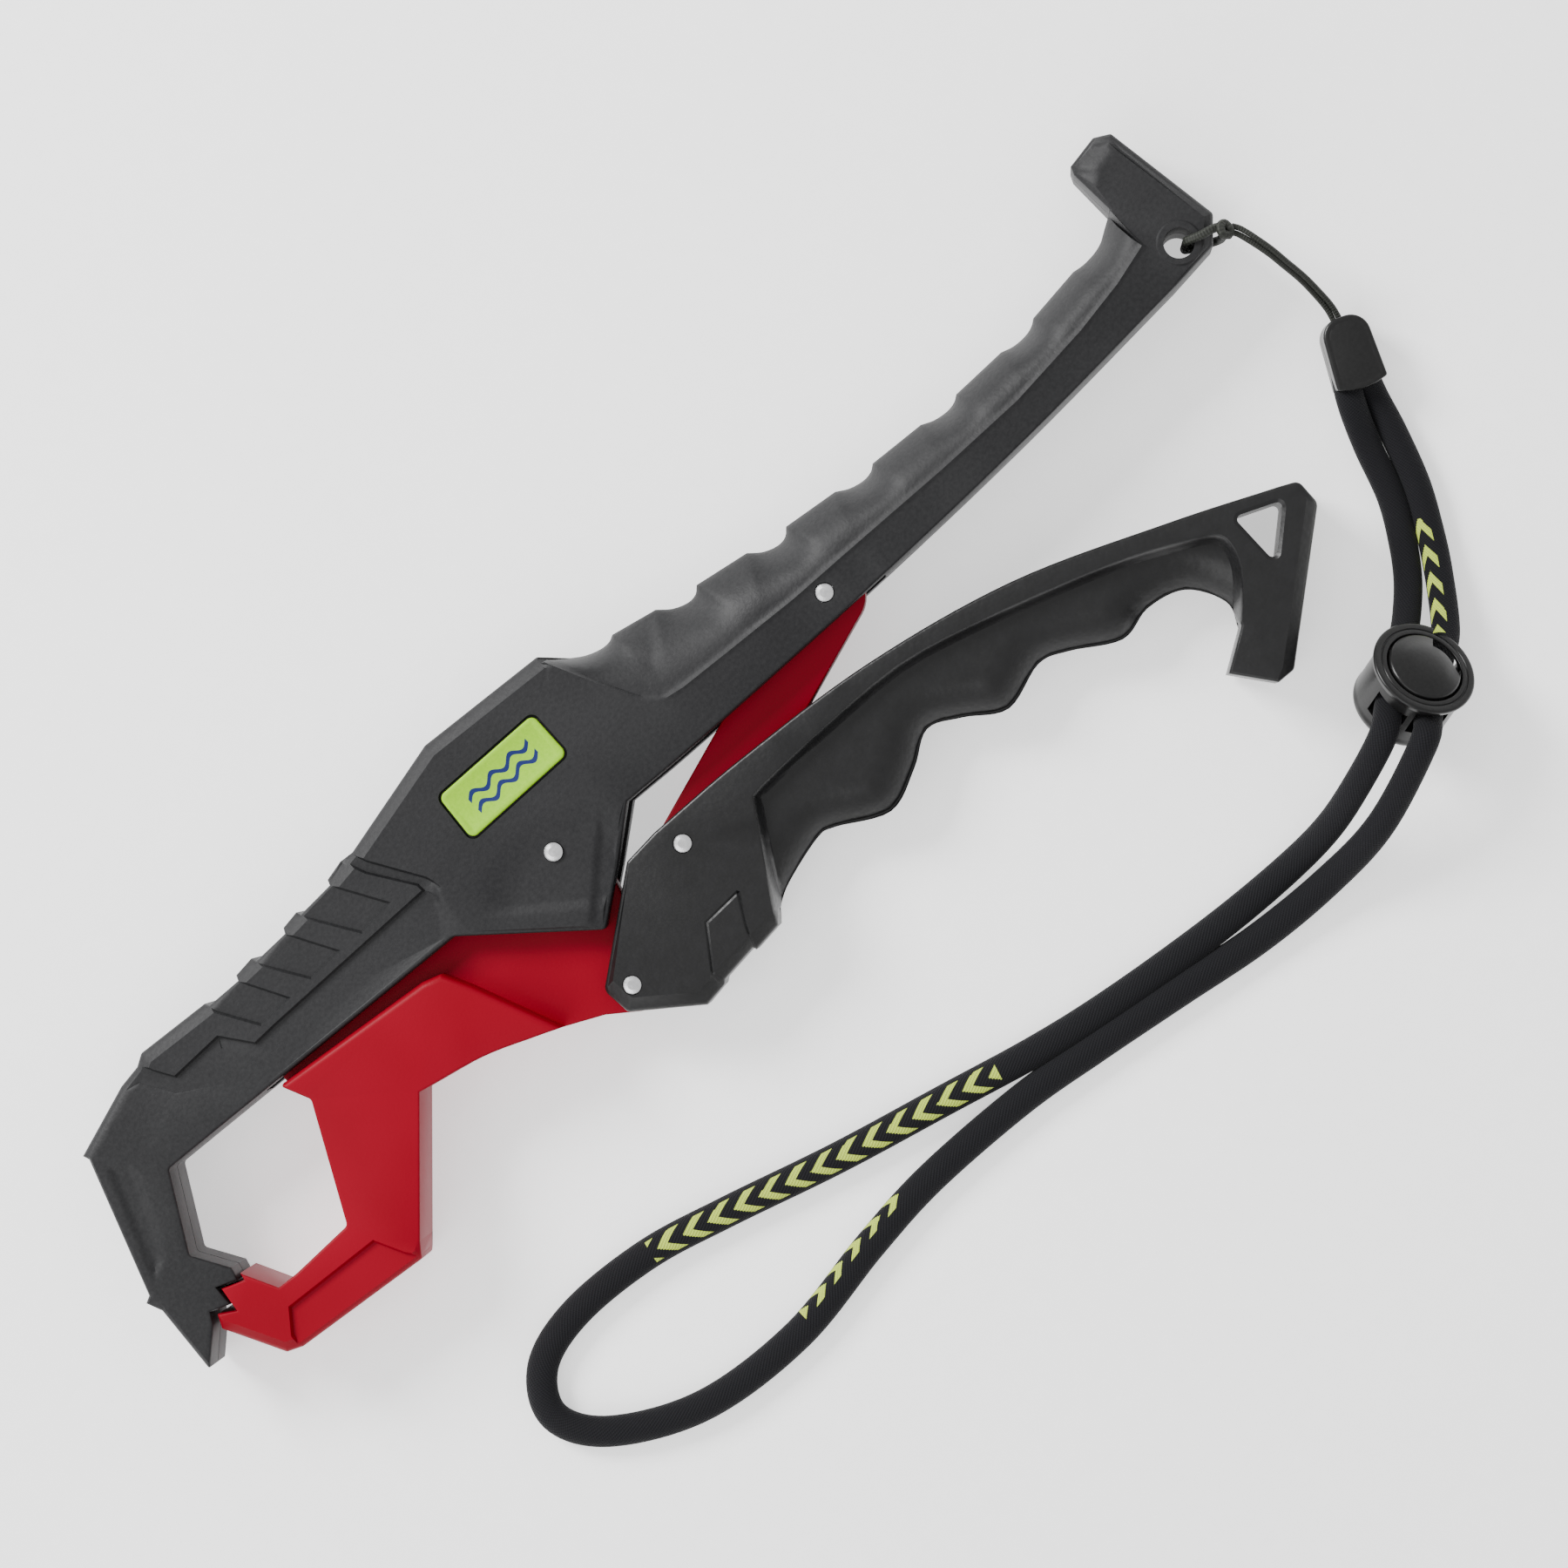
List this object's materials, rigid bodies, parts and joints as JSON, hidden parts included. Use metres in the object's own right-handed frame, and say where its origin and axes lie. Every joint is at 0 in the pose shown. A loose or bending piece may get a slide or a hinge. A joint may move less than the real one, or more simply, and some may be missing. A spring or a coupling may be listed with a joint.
{
  "type": "lip grip",
  "caption": "Fish lip grip: toothed upper jaw with a finger-grooved handle, a toggling lower jaw, a hooked lower handle and a wrist lanyard with a cord lock.",
  "frame": {"origin": "middle of the tool's plan box (lanyard left out), at the back face it lies on", "axes": "+X along the tool from the jaw tips to the hook end of the upper handle, +Y towards the back of the upper handle, +Z out of the front face, parallel to all four pivots"},
  "size_m": [0.2473, 0.1185, 0.0188],
  "materials": {
    "body_plastic": "fine grained matt black moulding",
    "handle_plastic": "smooth black moulding with a faint leather grain",
    "jaw_plastic": "red moulding, semi-gloss",
    "badge_plastic": "lime plate",
    "pin_steel": "bright rivet",
    "string_fabric": "thin black cord",
    "strap_fabric": "woven black tube with lime knit patches",
    "lock_plastic": "black moulding, semi-gloss"
  },
  "bodies": {
    "body": {"body_front_shell": "body_plastic", "body_back_shell": "body_plastic", "jaw_pivot_pin": "pin_steel", "link_body_pin": "pin_steel", "badge_front": "badge_plastic", "badge_back": "badge_plastic", "string_hitch": "string_fabric"},
    "lower_jaw": {"lower_jaw": "jaw_plastic"},
    "lower_handle": {"handle_front_shell": "handle_plastic", "handle_back_shell": "handle_plastic", "link_handle_pin": "pin_steel", "jaw_handle_pin": "pin_steel"},
    "link": {"link_arm": "jaw_plastic"},
    "lanyard": {"string_left": "string_fabric", "string_right": "string_fabric", "cap_front": "lock_plastic", "cap_back": "lock_plastic", "wrist_strap": "strap_fabric"},
    "lock": {"lock_barrel": "lock_plastic", "lock_spring": "pin_steel"},
    "button": {"lock_button": "lock_plastic"}
  },
  "joints": [
    {"name": "jaw_swing", "type": "hinge", "parent": "body", "child": "lower_jaw", "pos_m": [-0.02377, 0.01799, 0.008], "axis": [0, 0, 1], "range_deg": [0, 20]},
    {"name": "handle_swing", "type": "hinge", "parent": "lower_jaw", "child": "lower_handle", "pos_m": [-0.02987, -0.00571, 0.008], "axis": [0, 0, -1], "range_deg": [0, 60]},
    {"name": "link_swing", "type": "hinge", "parent": "body", "child": "link", "pos_m": [0.03553, 0.01659, 0.008], "axis": [0, 0, 1], "range_deg": [0, 25.5]},
    {"name": "lanyard_swing", "type": "hinge", "parent": "body", "child": "lanyard", "pos_m": [0.12153, 0.01109, 0.015], "axis": [0, 0, 1], "range_deg": [0, 40.5]},
    {"name": "lock_slide", "type": "slide", "parent": "lanyard", "child": "lock", "axis": [-0.7384, -0.4525, 0.5], "range_m": [0, 0.003]},
    {"name": "button_press", "type": "slide", "parent": "lock", "child": "button", "axis": [-0.6237, -0.1555, -0.766], "range_m": [0, 0.0014], "stiffness_N_per_m": 400, "springref_m": -0.002, "deforming": ["lock_spring"]}
  ],
  "couplings": [
    {"joint": "jaw_swing", "follows": "handle_swing", "ratio": 0.33},
    {"joint": "link_swing", "follows": "handle_swing", "ratio": 0.42},
    {"joint": "lanyard_swing", "follows": "handle_swing", "ratio": 0.67}
  ]
}
